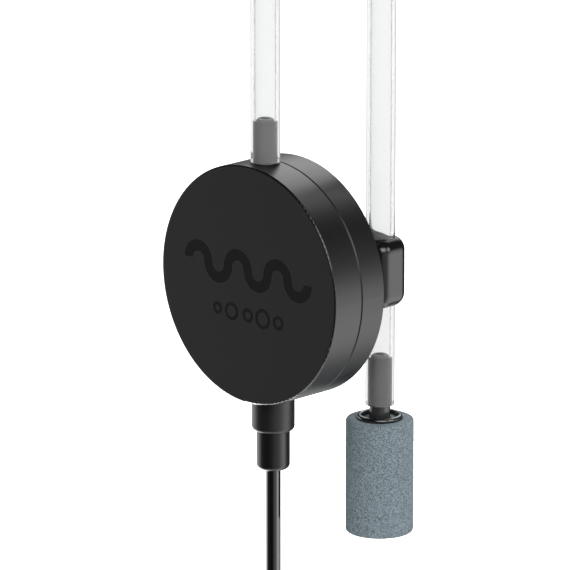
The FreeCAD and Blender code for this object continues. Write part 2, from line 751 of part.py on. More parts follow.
def bender_surround():
    """A soft ring whose groove holds the bender's edge with room for its stroke."""
    s = SIZES
    body = new_body("bender_surround")
    lip_radius = s.chamber_radius + SINK
    slot_radius = s.bender_radius + s.bender_slot_gap
    slot_near = s.bender_rear_depth - s.bender_stroke - THIN_GAP
    slot_far = s.bender_rear_depth + s.bender_thickness + s.bender_stroke + THIN_GAP
    turn(body, "XY_Plane", [
        (lip_radius, -s.board_front_depth), (s.stack_radius, -s.board_front_depth),
        (s.stack_radius, -s.block_rear_depth), (lip_radius, -s.block_rear_depth),
        (lip_radius, -slot_far), (slot_radius, -slot_far),
        (slot_radius, -slot_near), (lip_radius, -slot_near)])
    return body


def valve_block():
    s = SIZES
    body = new_body("valve_block")
    floor_depth = s.block_rear_depth + s.chamber_depth
    turn(body, "XY_Plane", [
        (0, -floor_depth), (s.chamber_radius, -floor_depth), (s.chamber_radius, -s.block_rear_depth),
        (s.stack_radius, -s.block_rear_depth), (s.stack_radius, -s.block_front_depth),
        (0, -s.block_front_depth)])
    # spigot that carries the nozzle's washer
    spigot = new_sketch(body, "XY_Plane", s.chamber_radius)
    add_circle(spigot, 0, -s.nozzle_depth, s.spigot_radius)
    pad(body, spigot, s.spigot_top - s.chamber_radius)

    # intake valve: a pocket that opens into the chamber, and a port to the front
    front = s.block_front_depth + OVERCUT
    cut_rectangle(body, floor_depth, s.intake_seat_depth, s.intake_half_width, s.intake_low, s.intake_high)
    cut_port(body, s.intake_seat_depth, front, s.intake_port_z)
    # outlet valve: a port from the chamber into a pocket that the manifold cover closes
    cut_port(body, s.block_rear_depth, s.outlet_seat_depth, s.outlet_port_z)
    cut_rectangle(body, s.outlet_seat_depth, front, s.outlet_half_width, s.outlet_low, s.outlet_high)
    cut_rectangle(body, s.manifold_seat_depth, front, s.outlet_half_width + s.cover_ledge,
                  s.outlet_low - s.cover_ledge, s.outlet_high + s.cover_ledge)
    duct = new_sketch(body, "XY_Plane", s.duct_low)
    add_circle(duct, 0, -s.nozzle_depth, s.port_radius)
    pocket(body, duct, s.spigot_top - s.duct_low + OVERCUT)
    return body


def cut_rectangle(body, near, far, half_width, low, high):
    sketch = new_sketch(body, "XZ_Plane", near)
    add_rectangle(sketch, -half_width, half_width, low, high)
    pocket(body, sketch, far - near)


def cut_port(body, near, far, height):
    sketch = new_sketch(body, "XZ_Plane", near)
    add_circle(sketch, 0, height, SIZES.port_radius)
    pocket(body, sketch, far - near)


def manifold_cover():
    s = SIZES
    margin = s.cover_ledge - THIN_GAP
    half_width = s.outlet_half_width + margin
    return box("manifold_cover", -half_width, half_width, s.manifold_seat_depth, s.block_front_depth,
               s.outlet_low - margin, s.outlet_high + margin)


def intake_flap():
    """Lies on its seat and swings into the chamber about its upper edge."""
    s = SIZES
    far = s.intake_seat_depth - SEAT_GAP
    half_width = s.intake_half_width - s.intake_flap_margin
    return box("intake_flap", -half_width, half_width, far - s.flap_thickness, far,
               s.intake_low + s.intake_flap_margin, s.intake_high - s.intake_flap_margin)


def outlet_flap():
    """Lies on its seat and swings towards the manifold cover about its lower edge."""
    s = SIZES
    near = s.outlet_seat_depth + SEAT_GAP
    half_width = s.outlet_half_width - s.outlet_flap_margin
    return box("outlet_flap", -half_width, half_width, near, near + s.flap_thickness,
               s.outlet_low + s.outlet_flap_margin, s.outlet_flap_top)


def nozzle_washer():
    s = SIZES
    body = new_body("nozzle_washer", 0, -s.nozzle_depth, 0)
    inner = s.port_radius + THIN_GAP
    high = s.spigot_top + s.washer_thickness
    turn(body, "XZ_Plane", [
        (inner, s.spigot_top), (s.washer_radius, s.spigot_top), (s.washer_radius, high), (inner, high)])
    return body


def air_nozzle():
    s = SIZES
    body = new_body("air_nozzle", 0, -s.nozzle_depth, 0)
    flange_low = s.spigot_top + s.washer_thickness
    flange_high = flange_low + s.nozzle_flange_height
    shaft_radius = s.hose_bore + SINK - THIN_GAP
    stub_radius = s.hose_bore - s.fit_gap
    stub_low = s.disc_radius + THIN_GAP * 2
    turn(body, "XZ_Plane", [
        (s.port_radius, flange_low), (s.nozzle_flange_radius, flange_low),
        (s.nozzle_flange_radius, flange_high), (shaft_radius, flange_high),
        (shaft_radius, stub_low), (stub_radius, stub_low),
        (stub_radius, s.nozzle_top), (s.port_radius, s.nozzle_top)])
    dress_edges(body, "Fillet", s.tip_round, circle_at(stub_radius, 2, s.nozzle_top))
    return body


def intake_filter():
    """A felt strip behind the inlet holes in the side of the rear cover."""
    s = SIZES
    body = new_body("intake_filter")
    body.Placement = Placement(Vector(), Rotation(Vector(0, 1, 0), 180 - FILTER_SPREAD / 2))
    outer = s.disc_radius - s.wall - THIN_GAP
    inner = outer - s.filter_thickness
    low, high = -s.filter_high_depth, -s.filter_low_depth
    turn(body, "XY_Plane", [(inner, low), (outer, low), (outer, high), (inner, high)], FILTER_SPREAD)
    return body


# ---------------------------------------------------------------- cable gland, cable, plug


def strain_relief():
    s = SIZES
    body = new_body("strain_relief", 0, -s.cable_depth, 0)
    flange_low = s.wall + s.relief_flange_gap - s.disc_radius
    flange_top = flange_low + s.relief_flange_height
    turn(body, "XZ_Plane", [
        (s.cable_radius, flange_top), (s.relief_flange_radius, flange_top),
        (s.relief_flange_radius, flange_low),
        (s.neck_radius, flange_low), (s.neck_radius, s.collar_bottom),
        (s.boot_radius, s.collar_bottom), (s.boot_radius, s.boot_bottom),
        (s.cable_radius, s.boot_bottom)])
    dress_edges(body, "Fillet", s.boot_round, circle_at(s.boot_radius, 2, s.boot_bottom))
    return body


def gland_collar():
    """A sleeve around the neck whose top is hollowed to sit on the round housing."""
    s = SIZES
    sleeve = new_body("collar_sleeve", 0, -s.cable_depth, 0)
    inner = s.neck_radius + s.fit_gap
    turn(sleeve, "XZ_Plane", [
        (inner, s.collar_top), (s.collar_radius, s.collar_top),
        (s.collar_radius, s.collar_bottom), (inner, s.collar_bottom)])
    dress_edges(sleeve, "Fillet", s.collar_round, circle_at(s.collar_radius, 2, s.collar_bottom))
    seat = disc("collar_seat", s.disc_radius + s.fit_gap, -OVERCUT, s.disc_depth + OVERCUT)
    return cut("gland_collar", sleeve, seat)


def power_cable():
    s = SIZES
    body = new_body("power_cable", 0, -s.cable_depth, 0)
    low = s.plug_top - s.jacket_reach
    section = new_sketch(body, "XY_Plane", low)
    add_circle(section, 0, 0, s.cable_radius)
    for side in (-1, 1):
        add_circle(section, s.core_offset * side, 0, s.core_radius)
    pad(body, section, s.cable_top - low)
    return body


def power_wires():
    """Two wires that run straight through the cable, then over the board's edge to its back."""
    s = SIZES
    low = (s.plug_top - s.wire_reach).value
    depth = s.cable_depth.value
    top = s.cable_top.value
    rear = s.board_rear_depth.value
    rise = s.wire_rise.value
    pull = rise / 2
    solids = []
    for x in (-s.core_offset.value, s.core_offset.value):
        straight = Part.makeLine(Vector(x, -depth, low), Vector(x, -depth, top))
        middle = Vector(x, s.wire_bow.value - rear, top + rise / 2)
        bend = Part.BSplineCurve()
        bend.interpolate(
            [Vector(x, -depth, top), middle, Vector(x, -rear, top + rise)],
            InitialTangent=Vector(0, 0, pull), FinalTangent=Vector(0, -pull, 0))
        spine = Part.Wire([straight, bend.toShape()])
        ring = Part.Wire(Part.makeCircle(s.core_radius.value, Vector(x, -depth, low)))
        solids.append(spine.makePipeShell([ring], True, True))
    return group("power_wires", solids)


def plug_body():
    s = SIZES
    body = new_body("plug_body", 0, -s.cable_depth, 0)
    shoulder = s.plug_top - s.relief_length
    jacket_end = s.plug_top - s.jacket_reach
    socket = s.plug_bottom + s.socket_length
    turn(body, "XZ_Plane", [
        (s.cable_radius, s.plug_top), (s.grip_top_radius, s.plug_top),
        (s.grip_low_radius, shoulder + s.grip_flare), (s.plug_radius, shoulder),
        (s.plug_radius, s.plug_bottom), (s.crimp_radius, s.plug_bottom),
        (s.crimp_radius, socket), (s.socket_bore, socket),
        (s.socket_bore, jacket_end), (s.cable_radius, jacket_end)])
    dress_edges(body, "Fillet", s.grip_low_round, circle_at(s.plug_radius, 2, s.plug_bottom))
    dress_edges(body, "Fillet", s.grip_top_round, circle_at(s.plug_radius, 2, shoulder))
    return body


def plug_tube(label, inner, outer):
    """A tube of the plug's end, from its tip up to the socket's end in the grip."""
    s = SIZES
    body = new_body(label, 0, -s.cable_depth, 0)
    tip = s.plug_bottom - s.barrel_length
    socket = s.plug_bottom + s.socket_length
    turn(body, "XZ_Plane", [(inner, tip), (outer, tip), (outer, socket), (inner, socket)])
    return body


def plug_barrel():
    """The outer contact: full size outside the grip, crimped smaller inside it."""
    s = SIZES
    body = new_body("plug_barrel", 0, -s.cable_depth, 0)
    tip = s.plug_bottom - s.barrel_length
    socket = s.plug_bottom + s.socket_length
    turn(body, "XZ_Plane", [
        (s.insulator_radius, tip), (s.barrel_radius, tip), (s.barrel_radius, s.plug_bottom),
        (s.crimp_radius, s.plug_bottom), (s.crimp_radius, socket), (s.insulator_radius, socket)])
    return body


def plug_insulator():
    return plug_tube("plug_insulator", SIZES.contact_radius, SIZES.insulator_radius)


def plug_contact():
    return plug_tube("plug_contact", SIZES.contact_bore, SIZES.contact_radius)


# ---------------------------------------------------------------- hose


def air_hose():
    """One hose: up from the nozzle, over the rim of the tank and down inside it."""
    s = SIZES
    run_x, run_y = s.hose_drop_x.value, (s.hose_drop_y + s.nozzle_depth).value
    span = math.hypot(run_x, run_y)
    high = s.hose_bend_start.value
    start = Vector(0, 0, s.hose_start.value)
    shoulder = Vector(0, 0, high)
    crown = Vector(span / 2, 0, high + span / 2)
    far_shoulder = Vector(span, 0, high)
    end = Vector(span, 0, s.hose_end.value)
    spine = Part.Wire([
        Part.makeLine(start, shoulder),
        Part.Arc(shoulder, crown, far_shoulder).toShape(),
        Part.makeLine(far_shoulder, end)])
    tubes = []
    for radius in (s.hose_radius.value, s.hose_bore.value):
        ring = Part.Wire(Part.makeCircle(radius, start))
        tubes.append(spine.makePipeShell([ring], True, True))
    item = DOC.addObject("Part::Feature", "air_hose")
    item.Shape = tubes[0].cut(tubes[1])
    heading = math.degrees(math.atan2(run_y, run_x))
    item.Placement = Placement(Vector(0, -s.nozzle_depth.value, 0), Rotation(Vector(0, 0, 1), heading))
    return item


# ---------------------------------------------------------------- holder inside the tank


def holder_body():
    s = SIZES
    body = new_body("holder_body")
    outline = new_sketch(body, "XY_Plane", -s.holder_half_height)
    add_rectangle(outline, s.holder_left, s.holder_right, s.holder_near, s.holder_back)
    pad(body, outline, s.holder_half_height * 2)
    dress_edges(body, "Fillet", s.holder_round, lambda edge: True)

    # the boss that carries the magnet up to the glass
    boss_left, boss_right = -s.magnet_boss_half_length, s.magnet_boss_half_length
    boss_low, boss_high = -s.magnet_boss_half_height, s.magnet_boss_half_height
    boss = new_sketch(body, "XZ_Plane", -s.holder_near - s.holder_round)
    add_rectangle(boss, boss_left, boss_right, boss_low, boss_high)
    pad(body, boss, s.holder_near + s.holder_round - s.magnet_boss_near)

    def boss_corner(edge):
        box_of_edge = edge.BoundBox
        straight = box_of_edge.XLength < TOLERANCE and box_of_edge.ZLength < TOLERANCE
        return straight and abs(box_of_edge.YMin - s.magnet_boss_near.value) < TOLERANCE

    dress_edges(body, "Fillet", s.magnet_boss_corner, boss_corner)

    hose_hole = new_sketch(body, "XY_Plane", -s.holder_half_height - OVERCUT)
    add_circle(hose_hole, s.hose_drop_x, s.hose_drop_y, s.hose_radius + s.slide_gap)
    pocket(body, hose_hole, (s.holder_half_height + OVERCUT) * 2)

    # recess for the pad, then the deeper pocket for the magnet and its keeper
    half_length = s.magnet_length * 0.5 + s.fit_gap
    half_height = s.magnet_height * 0.5 + s.fit_gap
    recess_length = half_length + s.holder_pad_ledge
    pad_recess = new_sketch(body, "XZ_Plane", -s.holder_pad_back)
    add_rectangle(pad_recess, -recess_length, recess_length, -half_height, half_height)
    pocket(body, pad_recess, s.holder_pad_back - s.magnet_boss_near + OVERCUT)
    magnet_back = s.holder_pad_back + s.magnet_thickness + s.keeper_thickness
    magnet_recess = new_sketch(body, "XZ_Plane", -magnet_back)
    add_rectangle(magnet_recess, -half_length, half_length, -half_height, half_height)
    pocket(body, magnet_recess, magnet_back - s.holder_pad_back + OVERCUT)
    return body


def holder_magnet():
    s = SIZES
    back = s.holder_pad_back + s.magnet_thickness
    return bar_magnet("holder_magnet", -back, -s.holder_pad_back)


def holder_keeper():
    s = SIZES
    near = s.holder_pad_back + s.magnet_thickness
    return bar_magnet("holder_keeper", -near - s.keeper_thickness, -near)


def holder_pad():
    """A soft pad that closes the magnet's pocket and rests on the glass."""
    s = SIZES
    half_length = s.magnet_length * 0.5 + s.holder_pad_ledge
    half_height = s.magnet_height * 0.5
    return box("holder_pad", -half_length, half_length, -s.holder_pad_back, -s.glass_thickness,
               -half_height, half_height)


# ---------------------------------------------------------------- air stone


def air_stone():
    s = SIZES
    body = new_body("air_stone", s.hose_drop_x, s.hose_drop_y, 0)
    bore = s.nipple_neck + s.fit_gap
    bore_low = s.stone_top - s.stone_bore_depth
    seat_inside = s.ring_radius - s.ring_band - s.fit_gap
    seat_outside = s.ring_radius + s.fit_gap
    seat = s.stone_top - s.ring_seat
    turn(body, "XZ_Plane", [
        (0, bore_low), (bore, bore_low), (bore, s.stone_top), (seat_inside, s.stone_top),
        (seat_inside, seat), (seat_outside, seat), (seat_outside, s.stone_top),
        (s.stone_radius, s.stone_top), (s.stone_radius, s.stone_bottom), (0, s.stone_bottom)])
    dress_edges(body, "Fillet", s.stone_round, circle_at(s.stone_radius, 2, s.stone_top))
    dress_edges(body, "Fillet", s.stone_round, circle_at(s.stone_radius, 2, s.stone_bottom))
    return body


def stone_ring():
    """A ring around the neck, let into the top of the stone, with a rounded top."""
    s = SIZES
    body = new_body("stone_ring", s.hose_drop_x, s.hose_drop_y, 0)
    inner = s.ring_radius - s.ring_band
    seat = s.stone_top - s.ring_seat
    turn(body, "XZ_Plane", [
        (inner, seat), (s.ring_radius, seat), (s.ring_radius, s.ring_top), (inner, s.ring_top)])
    dress_edges(body, "Fillet", s.ring_round, circle_at(s.ring_radius, 2, s.ring_top))
    dress_edges(body, "Fillet", s.ring_round, circle_at(inner, 2, s.ring_top))
    return body


def stone_nipple():
    s = SIZES
    body = new_body("stone_nipple", s.hose_drop_x, s.hose_drop_y, 0)
    stem = s.hose_bore - s.fit_gap
    shoulder = s.hose_end - s.fit_gap
    low = s.stone_top - s.stone_bore_depth + s.end_gap
    turn(body, "XZ_Plane", [
        (s.port_radius, s.nipple_top), (stem, s.nipple_top), (stem, shoulder),
        (s.nipple_neck, shoulder), (s.nipple_neck, low), (s.port_radius, low)])
    dress_edges(body, "Fillet", s.tip_round, circle_at(stem, 2, s.nipple_top))
    return body


# ---------------------------------------------------------------- assembly


def build_all():
    mark = face_mark()
    return [
        mark, front_cover(mark), rear_cover(), housing_seal(), glass_pad(), cover_screws(),
        pump_magnet(), magnet_keeper(), circuit_board(), inductor_core(), inductor_winding(),
        driver_chip(), chip_leads(), board_capacitors(), board_chips(), contact_springs(),
        bender_disc(), piezo_ceramic(), bender_surround(), valve_block(), manifold_cover(),
        intake_flap(), outlet_flap(), nozzle_washer(), air_nozzle(), intake_filter(),
        strain_relief(), gland_collar(), power_cable(), power_wires(), plug_body(),
        plug_barrel(), plug_insulator(), plug_contact(), air_hose(), holder_body(),
        holder_magnet(), holder_keeper(), holder_pad(), air_stone(), stone_ring(), stone_nipple(),
    ]


def check(subparts):
    for item in DOC.Objects:
        if "Invalid" in item.State or "Error" in item.State:
            raise RuntimeError(f"{item.Label} failed to rebuild: {item.State}")
    for item in subparts:
        if item.Shape.isNull() or not item.Shape.isValid() or not item.Shape.Solids:
            raise RuntimeError(f"{item.Label} has no valid solid")


SUBPARTS = build_all()
DOC.recompute()
check(SUBPARTS)
os.makedirs("parts", exist_ok=True)
for subpart in SUBPARTS:
    subpart.Shape.exportStep(f"parts/{subpart.Label}.step")
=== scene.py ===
import math

import bmesh
import bpy
from mathutils import Matrix, Vector, noise


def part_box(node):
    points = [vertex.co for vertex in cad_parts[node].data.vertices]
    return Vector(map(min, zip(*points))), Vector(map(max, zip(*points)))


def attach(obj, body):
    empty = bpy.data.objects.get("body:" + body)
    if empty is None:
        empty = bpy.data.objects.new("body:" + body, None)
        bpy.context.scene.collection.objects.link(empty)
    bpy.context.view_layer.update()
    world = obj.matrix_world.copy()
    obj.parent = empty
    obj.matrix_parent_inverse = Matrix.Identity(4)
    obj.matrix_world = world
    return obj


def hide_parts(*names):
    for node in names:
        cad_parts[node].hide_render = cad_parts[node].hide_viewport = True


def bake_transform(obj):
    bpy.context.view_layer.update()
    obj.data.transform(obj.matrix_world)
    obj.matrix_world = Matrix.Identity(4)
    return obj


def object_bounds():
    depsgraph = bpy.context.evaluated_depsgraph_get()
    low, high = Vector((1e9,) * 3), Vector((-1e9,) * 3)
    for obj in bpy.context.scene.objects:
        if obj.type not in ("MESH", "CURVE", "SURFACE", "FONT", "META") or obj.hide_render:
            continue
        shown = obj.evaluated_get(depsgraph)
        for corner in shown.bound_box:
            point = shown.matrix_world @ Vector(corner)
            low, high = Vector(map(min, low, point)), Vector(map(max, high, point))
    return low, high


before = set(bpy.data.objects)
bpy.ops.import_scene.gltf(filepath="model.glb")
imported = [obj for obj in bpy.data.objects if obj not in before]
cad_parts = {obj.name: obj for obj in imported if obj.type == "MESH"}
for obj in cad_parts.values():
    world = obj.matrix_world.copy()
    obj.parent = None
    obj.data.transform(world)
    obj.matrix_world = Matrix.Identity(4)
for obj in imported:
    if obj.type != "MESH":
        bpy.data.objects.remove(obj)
cad_low, cad_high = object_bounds()

MM = 0.001

# Camera: the angle, distance and lens the object is seen with, and the point it looks at.
CAMERA_AZIMUTH = math.radians(44.69)
CAMERA_ELEVATION = math.radians(14.98)
CAMERA_DISTANCE = 1301 * MM
CAMERA_LENS = 407.3
CAMERA_SENSOR = 36
CAMERA_CLIP = (0.01, 200)
AIM_RIGHT = -2.38 * MM
AIM_UP = -2.47 * MM

# Hose: 4/6 mm air line.  Over the nozzle and the nipple its bore is the grip radius, and widens
# to its free size over the taper.  Its end at the pump stays a hair clear of the housing.
HOSE_RADIUS = 3.0 * MM
HOSE_BORE = 2.0 * MM
HOSE_GRIP = 1.9 * MM
GRIP_TAPER = 0.5 * MM
HOSE_END_GAP = 0.25 * MM
HOSE_STRAIGHT_STEPS = 12
HOSE_BEND_STEPS = 48
HOSE_SEGMENTS = 64

# Greys of the stem: the nozzle, the nipple inside the hose, and the bare neck below it. The nipple's
# grey is painted light: the nipple is painted lighter inside the hose than on its bare neck.
NOZZLE_GREY = (0.13, 0.13, 0.13)
NIPPLE_GREY_PAINTED_LIGHT = (0.075, 0.075, 0.075)
NECK_GREY = (0.03, 0.03, 0.03)

# The stone: spacing of its surface points, round of its edges, depth and sizes of its grain.
STONE_STEP = 0.22 * MM
STONE_EDGE = 0.5 * MM
STONE_EDGE_STEPS = 4
STONE_RELIEF = 0.09 * MM
COARSE_GRAIN = 0.75 * MM
FINE_GRAIN = 0.33 * MM
COARSE_SHARE = 0.55
FINE_SHARE = 0.6
FINE_OFFSET = Vector((7.1, 3.3, 1.9))
GRIT_SIZE = 0.18 * MM

# The stone's sockets: the ring's own width, the gap round what sits in them, and how far
# outside the ring the rough surface ends.
RING_BAND = 1.1 * MM
SOCKET_GAP = 0.03 * MM
RIM_MARGIN = 0.2 * MM

# The plug's grip: ribs of the strain relief on a core that widens, then the fluted body.  The
# relief's foot is a radius and a height over the body's shoulder; the shoulder's round is insets
# from the body's radius and heights over the shoulder.
GRIP_RIBS = 6
RIB_PITCH = 1.4 * MM
RIB_HEIGHT = 0.5 * MM
RIB_CORE = 2.0 * MM
RIB_CORE_GROWTH = 0.1 * MM
RIB_SLOPE = 0.15 * MM
RIB_WIDTH = 0.9 * MM
RELIEF_LENGTH = 10 * MM
RELIEF_FOOT = (2.7 * MM, 1.2 * MM)
SHOULDER_ROUND = ((1.2 * MM, 0.5 * MM), (0.35 * MM, -0.1 * MM), (0, -0.9 * MM))
CRIMP_RADIUS = 2.5 * MM
WIRE_CLEARANCE = 0.2 * MM
FLUTES = 18
FLUTE_DEPTH = 0.3 * MM
FLUTE_MARGIN = 2 * MM
FLUTE_STEPS = 14
FLUTE_RUN_OUT = 5
GRIP_SEGMENTS = 144
GRIP_CORNER = 0.9 * MM
GRIP_CORNER_INSET = 0.25 * MM

SHARP_ANGLE = math.radians(40)
FLOOR_SIZE = 60
FLOOR_GAP = 10 * MM

# The polished band on the housing's front rim.
RIM_RADIUS = 24.22 * MM
RIM_Y = -13.67 * MM
RIM_ROUGHNESS = 0.12

# How much the colour and gloss of a moulding drift, and over what distance.
COLOUR_DRIFT = 0.08
DRIFT_SIZE = 9 * MM
GLOSS_DRIFT = 0.07
MOULD_GRAIN = 0.25 * MM
COAT_ROUGHNESS = 0.08

# Scratches on metal: their width, depth, and how much they change gloss and darken.
SCRATCH_SIZE = 0.2 * MM
SCRATCH_RELIEF = 0.004 * MM
SCRATCH_GLOSS = 0.3
SCRATCH_SHADE = 0.85

# Lower than that of real hose, so that the hose magnifies the stems inside it less.
HOSE_IOR = 1.25


# ---------------------------------------------------------------- material helpers


class Tree:
    """Adds and joins the nodes of one material or world."""

    def __init__(self, owner):
        owner.use_nodes = True
        self.owner = owner
        self.tree = owner.node_tree

    def add(self, kind, settings=None, **inputs):
        """A new node with its properties and inputs set; an input may be another node's output."""
        item = self.tree.nodes.new(kind)
        for key, value in (settings or {}).items():
            setattr(item, key, value)
        for key, value in inputs.items():
            self.feed(item.inputs[key.replace("_", " ")], value)
        return item

    def feed(self, socket, value):
        if isinstance(value, bpy.types.NodeSocket):
            self.tree.links.new(value, socket)
        else:
            socket.default_value = value

    def maths(self, operation, first, second):
        """The result of a two-value maths node."""
        item = self.add("ShaderNodeMath", {"operation": operation})
        self.feed(item.inputs[0], first)
        self.feed(item.inputs[1], second)
        return item.outputs["Value"]


class Surface(Tree):
    """The nodes of a material, new or made before, round its Principled shader."""

    def __init__(self, material):
        super().__init__(material)
        self.shader = self.tree.nodes["Principled BSDF"]

    @classmethod
    def new(cls, name):
        return cls(bpy.data.materials.new(name))

    def set(self, name, value):
        self.feed(self.shader.inputs[name], value)

    def place(self):
        """Position in the object's own frame, in metres."""
        return self.add("ShaderNodeTexCoord").outputs["Object"]

    def blend(self, factor, first, second):
        """A value between two, by a 0 to 1 value."""
        item = self.add("ShaderNodeMix", {"data_type": "FLOAT"})
        self.feed(item.inputs[0], factor)
        self.feed(item.inputs[2], first)
        self.feed(item.inputs[3], second)
        return item.outputs[0]

    def grain(self, size, detail=3.0, roughness=0.55):
        """Noise from 0 to 1 whose blobs are about size metres across."""
        texture = self.add("ShaderNodeTexNoise", Vector=self.place(), Scale=1 / size,
                           Detail=detail, Roughness=roughness)
        return texture.outputs["Fac"]

    def map(self, value, low, high):
        """Stretches the middle of a 0 to 1 value over low to high."""
        spread = self.add("ShaderNodeMapRange", Value=value, From_Min=0.3, From_Max=0.7,
                          To_Min=low, To_Max=high)
        return spread.outputs["Result"]

    def tint(self, factor, first, second):
        """A colour between two, by a 0 to 1 value; the first may be another node's output."""
        blend = self.add("ShaderNodeMix", {"data_type": "RGBA"})
        self.feed(blend.inputs[0], factor)
        linked = isinstance(first, bpy.types.NodeSocket)
        self.feed(blend.inputs[6], first if linked else (*first, 1))
        self.feed(blend.inputs[7], (*second, 1))
        return blend.outputs[2]

    def bump(self, height, distance):
        bump = self.add("ShaderNodeBump", Height=height, Distance=distance, Strength=1.0)
        self.set("Normal", bump.outputs["Normal"])


def shade(colour, factor):
    return tuple(channel * factor for channel in colour)


def moulded(name, colour, roughness, relief=0.01 * MM, specular=0.5, coat=0.0):
    """Moulded plastic or rubber: fine grain, slight colour drift and uneven gloss."""
    nodes = Surface.new(name)
    drift = nodes.map(nodes.grain(DRIFT_SIZE), 0, 1)
    nodes.set("Base Color", nodes.tint(drift, shade(colour, 1 - COLOUR_DRIFT),
                                       shade(colour, 1 + COLOUR_DRIFT)))
    fine = nodes.grain(MOULD_GRAIN)
    nodes.set("Roughness", nodes.map(fine, roughness * (1 - GLOSS_DRIFT),
                                     min(1.0, roughness * (1 + GLOSS_DRIFT))))
    nodes.set("Specular IOR Level", specular)
    nodes.set("Coat Weight", coat)
    nodes.set("Coat Roughness", COAT_ROUGHNESS)
    nodes.bump(fine, relief)
    return nodes.owner


def housing_plastic():
    """The covers' satin black, with a polished band on the round of the front rim."""
    material = moulded("satin_black_plastic", (0.0045, 0.0045, 0.0046), 0.36, relief=0.006 * MM)
    nodes = Surface(material)
    place = nodes.add("ShaderNodeSeparateXYZ", Vector=nodes.place())
    flat = nodes.add("ShaderNodeCombineXYZ", X=place.outputs["X"], Z=place.outputs["Z"])
    radius = nodes.add("ShaderNodeVectorMath", {"operation": "LENGTH"}, Vector=flat.outputs["Vector"])
    on_side = nodes.maths("GREATER_THAN", radius.outputs["Value"], RIM_RADIUS)
    in_front = nodes.maths("LESS_THAN", place.outputs["Y"], RIM_Y)
    rim = nodes.maths("MULTIPLY", on_side, in_front)
    satin = nodes.shader.inputs["Roughness"].links[0].from_socket
    nodes.set("Roughness", nodes.blend(rim, satin, RIM_ROUGHNESS))
    return material


def stem_material():
    """Grey moulding, darker on the stone's nipple and darkest where the hose leaves it bare.

    The nipple inside the hose is painted lighter than its own bare neck, as painted light for how the
    clear hose brightens it. The greys go by height in the world, not on the piece, so they keep to
    the hose's end when the stone is pulled off it.
    """
    material = moulded("stem_plastic", NOZZLE_GREY, 0.25, relief=0.001 * MM)
    nodes = Surface(material)
    position = nodes.add("ShaderNodeNewGeometry").outputs["Position"]
    height = nodes.add("ShaderNodeSeparateXYZ", Vector=position).outputs["Z"]
    hose_end = corners("air_hose")[0].z
    bare = nodes.maths("LESS_THAN", height, hose_end)
    low = nodes.maths("LESS_THAN", height, 0)
    # painted light: the part of the nipple inside the hose gets a lighter grey than its bare neck
    grey = nodes.tint(low, NOZZLE_GREY, NIPPLE_GREY_PAINTED_LIGHT)
    nodes.set("Base Color", nodes.tint(bare, grey, NECK_GREY))
    return material


def metal(name, colour, roughness, stretch=(1, 1, 12)):
    """Bare or plated metal with fine scratches drawn out along one direction."""
    nodes = Surface.new(name)
    scaled = nodes.add("ShaderNodeMapping", Vector=nodes.place(), Scale=tuple(1 / s for s in stretch))
    scratches = nodes.add("ShaderNodeTexNoise", Vector=scaled.outputs["Vector"],
                          Scale=1 / SCRATCH_SIZE, Detail=4.0).outputs["Fac"]
    nodes.set("Base Color", nodes.tint(scratches, shade(colour, SCRATCH_SHADE), colour))
    nodes.set("Metallic", 1.0)
    nodes.set("Roughness", nodes.map(scratches, roughness * (1 - SCRATCH_GLOSS),
                                     roughness * (1 + SCRATCH_GLOSS)))
    nodes.bump(scratches, SCRATCH_RELIEF)
    return nodes.owner


def clear_hose_material():
    """Clear plastic with a trace of haze."""
    nodes = Surface.new("clear_hose")
    haze = nodes.grain(6 * MM)
    nodes.set("Base Color", (0.985, 0.99, 0.99, 1))
    nodes.set("Transmission Weight", 0.92)
    nodes.set("IOR", HOSE_IOR)
    nodes.set("Roughness", nodes.map(haze, 0.0, 0.02))
    return nodes.owner


def stone_material():
    """Bonded grit: blue-grey grains, some lighter and some darker, with dark pits between."""
    nodes = Surface.new("bonded_grit")
    grains = nodes.add("ShaderNodeTexVoronoi", Vector=nodes.place(), Scale=1 / GRIT_SIZE)
    value = nodes.add("ShaderNodeSeparateColor", Color=grains.outputs["Color"]).outputs["Red"]
    colour = nodes.tint(value, (0.09, 0.117, 0.134), (0.284, 0.349, 0.379))
    pits = nodes.map(nodes.grain(0.35 * MM, detail=5.0), 0.88, 1.08)
    pitted = nodes.add("ShaderNodeVectorMath", {"operation": "SCALE"}, Vector=colour, Scale=pits)
    nodes.set("Base Color", pitted.outputs["Vector"])
    nodes.set("Roughness", 0.9)
    nodes.set("Specular IOR Level", 0.25)
    nodes.bump(nodes.grain(0.3 * MM, detail=4.0), 0.06 * MM)
    return nodes.owner


def felt_material():
    nodes = Surface.new("pressed_felt")
    fibres = nodes.grain(0.15 * MM, detail=6.0, roughness=0.8)
    nodes.set("Base Color", nodes.tint(fibres, (0.45, 0.43, 0.38), (0.8, 0.78, 0.72)))
    nodes.set("Roughness", 0.95)
    nodes.set("Sheen Weight", 0.4)
    nodes.bump(fibres, 0.1 * MM)
    return nodes.owner


def board_material():
    """Green solder mask with paler copper tracks showing through it."""
    nodes = Surface.new("solder_mask")
    tracks = nodes.add("ShaderNodeTexBrick", Vector=nodes.place(), Scale=1 / (4 * MM))
    nodes.feed(tracks.inputs["Color1"], (0.012, 0.13, 0.05, 1))
    nodes.feed(tracks.inputs["Color2"], (0.016, 0.16, 0.06, 1))
    nodes.feed(tracks.inputs["Mortar"], (0.05, 0.27, 0.1, 1))
    nodes.set("Base Color", tracks.outputs["Color"])
    nodes.set("Roughness", 0.3)
    nodes.bump(nodes.grain(0.4 * MM), 0.01 * MM)
    return nodes.owner


